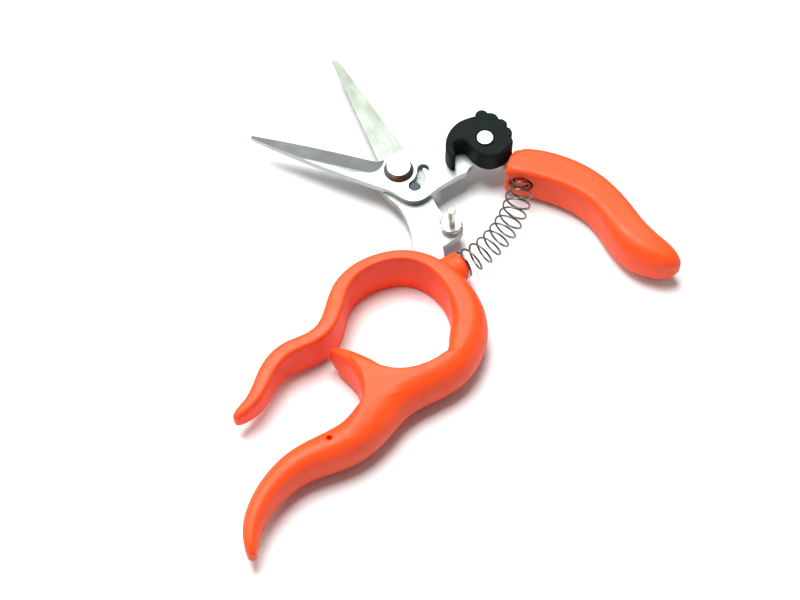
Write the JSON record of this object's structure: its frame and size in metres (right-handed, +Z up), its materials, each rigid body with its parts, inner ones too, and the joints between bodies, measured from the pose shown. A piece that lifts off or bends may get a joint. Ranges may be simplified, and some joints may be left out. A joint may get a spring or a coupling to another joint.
{
  "type": "floral snips",
  "caption": "Spring-loaded hand snips with two short pointed blades, a finger-ring grip with two curved tails, a thumb grip and a hooked latch that holds them shut.",
  "frame": {"origin": "on the surface the snips lie on, under the middle of the whole tool when fully open", "axes": "+Z up out of the flat side of the grips, along the pivot bolt; +Y from the grip tails towards the blade tips; +X towards the thumb grip"},
  "size_m": [0.1228, 0.1582, 0.0178],
  "materials": {
    "blade_steel": "ground stainless steel, fine cross-grained",
    "fastener_steel": "turned and polished steel",
    "spring_steel": "drawn spring wire",
    "grip_plastic": "satin moulded plastic, bright orange",
    "latch_plastic": "satin moulded plastic, near black"
  },
  "bodies": {
    "ring_side": {"lower_blade": "blade_steel", "ring_grip": "grip_plastic", "pivot_bolt": "fastener_steel", "pivot_washer": "fastener_steel", "pivot_nut": "fastener_steel", "stop_pin": "fastener_steel", "catch_post": "fastener_steel", "post_collar_lower": "fastener_steel", "post_collar_upper": "fastener_steel", "coil_spring": "spring_steel"},
    "thumb_side": {"upper_blade": "blade_steel", "thumb_grip": "grip_plastic", "latch_rivet": "fastener_steel", "latch_washer": "fastener_steel"},
    "latch": {"latch_lever": "latch_plastic"}
  },
  "joints": [
    {"name": "blade_hinge", "type": "hinge", "parent": "ring_side", "child": "thumb_side", "pos_m": [-0.01715, 0.03867, 0.008], "axis": [0, 0, -1], "range_deg": [0, 47], "stiffness_Nm_per_rad": 0.15, "springref_deg": -20.05, "deforming": ["coil_spring"]},
    {"name": "latch_hinge", "type": "hinge", "parent": "thumb_side", "child": "latch", "pos_m": [0.00735, 0.04487, 0.014], "axis": [0, 0, 1], "range_deg": [0, 62]}
  ]
}
